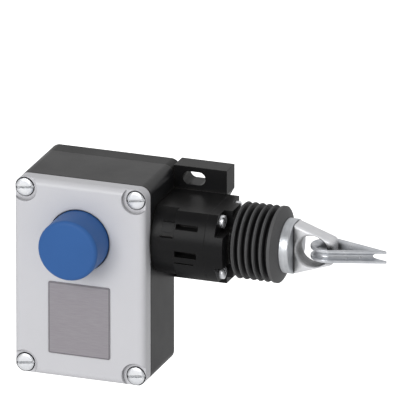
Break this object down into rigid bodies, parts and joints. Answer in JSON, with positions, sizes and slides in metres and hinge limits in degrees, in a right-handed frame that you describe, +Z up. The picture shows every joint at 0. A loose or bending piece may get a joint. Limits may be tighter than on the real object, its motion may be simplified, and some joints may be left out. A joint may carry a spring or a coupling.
{
  "type": "rope pull switch",
  "caption": "Wall-mounted rope pull switch: die-cast box with a reset button, side pull head with bellows, and an eye with a rope thimble.",
  "frame": {"origin": "on the mounting face, straight behind the pull axis, at the middle of the box's width", "axes": "+X along the pull, out of the head; +Y into the wall it is fixed to; +Z up, towards the end of the box beside the head"},
  "size_m": [0.2022, 0.0776, 0.1124],
  "materials": {
    "body_black": "semi-gloss black coat on a die casting",
    "cover_grey": "satin light grey paint",
    "label_grey": "matt printed film, left bare",
    "head_black": "semi-gloss black coat on a die casting",
    "bellows_rubber": "matt moulded rubber",
    "seal_rubber": "matt moulded rubber",
    "button_blue": "satin moulded plastic",
    "zinc_steel": "bright zinc plate",
    "turned_steel": "turned and polished",
    "spring_steel": "oiled spring wire",
    "dark_steel": "phosphated",
    "forged_steel": "forged and zinc plated",
    "bronze": "sintered bronze",
    "brass": "bright",
    "copper": "rolled strip",
    "white_plastic": "moulded",
    "red_plastic": "moulded"
  },
  "bodies": {
    "root": {"base_housing": "body_black", "cover": "cover_grey", "cover_gasket": "seal_rubber", "cover_screws": "zinc_steel", "label_plate": "label_grey", "head_casting": "head_black", "base_screws": "zinc_steel", "head_gasket": "seal_rubber", "head_flange": "head_black", "head_screws": "zinc_steel", "rear_bush": "bronze", "front_bush": "bronze", "rod_wiper": "seal_rubber", "bellows": "bellows_rubber", "tension_spring": "spring_steel", "stem_guide": "bronze", "reset_spring": "spring_steel", "contact_block": "white_plastic", "block_screws": "zinc_steel", "fixed_contacts": "copper", "terminal_screws": "zinc_steel", "plunger_spring": "spring_steel", "earth_screw": "brass", "earth_washer": "brass"},
    "puller": {"pull_rod": "turned_steel", "spring_seat": "turned_steel", "rod_circlip": "dark_steel", "switching_cam": "white_plastic", "tail_nut": "zinc_steel", "end_disc": "turned_steel", "eyelet": "forged_steel"},
    "thimble": {"rope_thimble": "zinc_steel"},
    "contacts": {"plunger_pin": "turned_steel", "contact_carrier": "red_plastic", "contact_bridges": "copper"},
    "reset": {"reset_button": "button_blue", "reset_stem": "turned_steel", "stem_circlip": "dark_steel", "reset_fork": "dark_steel", "fork_pin": "dark_steel"}
  },
  "joints": [
    {"name": "rope_pull", "type": "slide", "parent": "root", "child": "puller", "axis": [1, 0, 0], "range_m": [0, 0.012], "stiffness_N_per_m": 15000, "springref_m": -0.005, "deforming": ["bellows", "tension_spring"]},
    {"name": "thimble_swing", "type": "hinge", "parent": "puller", "child": "thimble", "pos_m": [0.1234, -0.0274, 0], "axis": [0, 1, 0], "range_deg": [-90, 90]},
    {"name": "contact_travel", "type": "slide", "parent": "root", "child": "contacts", "axis": [0, 0, -1], "range_m": [0, 0.0033], "deforming": ["plunger_spring"]},
    {"name": "reset_press", "type": "slide", "parent": "root", "child": "reset", "axis": [0, 1, 0], "range_m": [0, 0.005], "stiffness_N_per_m": 800, "springref_m": -0.003, "deforming": ["reset_spring"]}
  ],
  "couplings": [
    {"joint": "contact_travel", "follows": "rope_pull", "ratio": 0.2679}
  ]
}
